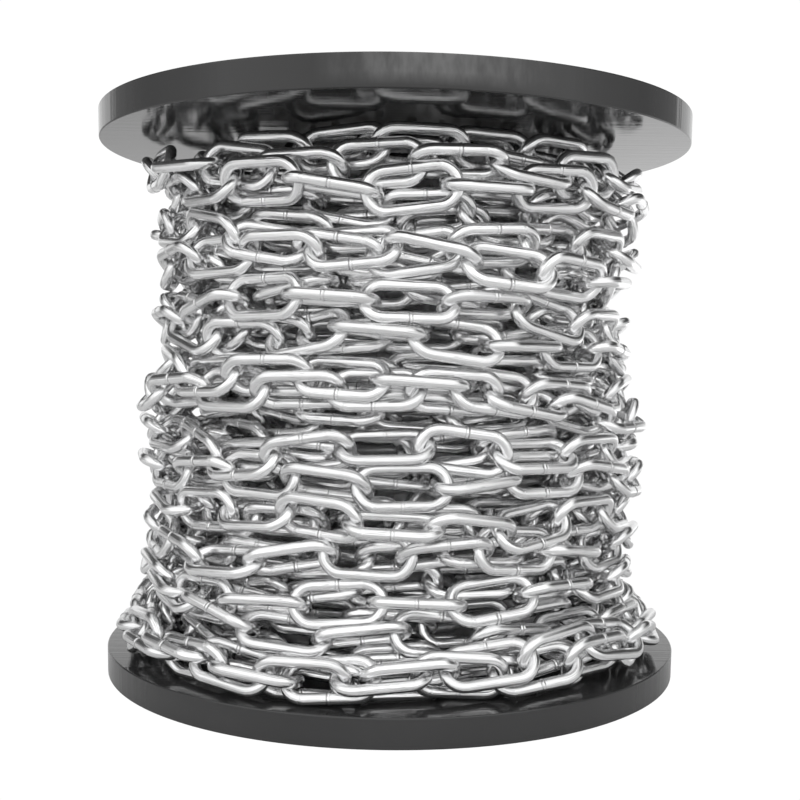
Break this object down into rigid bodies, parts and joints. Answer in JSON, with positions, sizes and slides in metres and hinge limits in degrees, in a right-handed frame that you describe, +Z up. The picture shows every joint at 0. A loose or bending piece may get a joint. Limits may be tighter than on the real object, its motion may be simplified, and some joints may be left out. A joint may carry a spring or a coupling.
{
  "type": "reel of steel chain",
  "caption": "Upright plastic reel with two round flanges and a hollow barrel, wound full with long-link welded steel chain.",
  "frame": {"origin": "centre of the base, on the floor under the lower flange", "axes": "+Z up along the reel's axis; +X and +Y lie in the plane of the base"},
  "size_m": [0.225, 0.225, 0.212],
  "materials": {
    "reel_plastic": "glossy black moulded plastic",
    "chain_steel": "bright zinc plating over welded steel wire"
  },
  "bodies": {
    "root": {"bottom_flange": "reel_plastic", "top_flange": "reel_plastic", "barrel": "reel_plastic", "chain_core": "chain_steel", "chain_outer_turns": "chain_steel"}
  },
  "joints": []
}
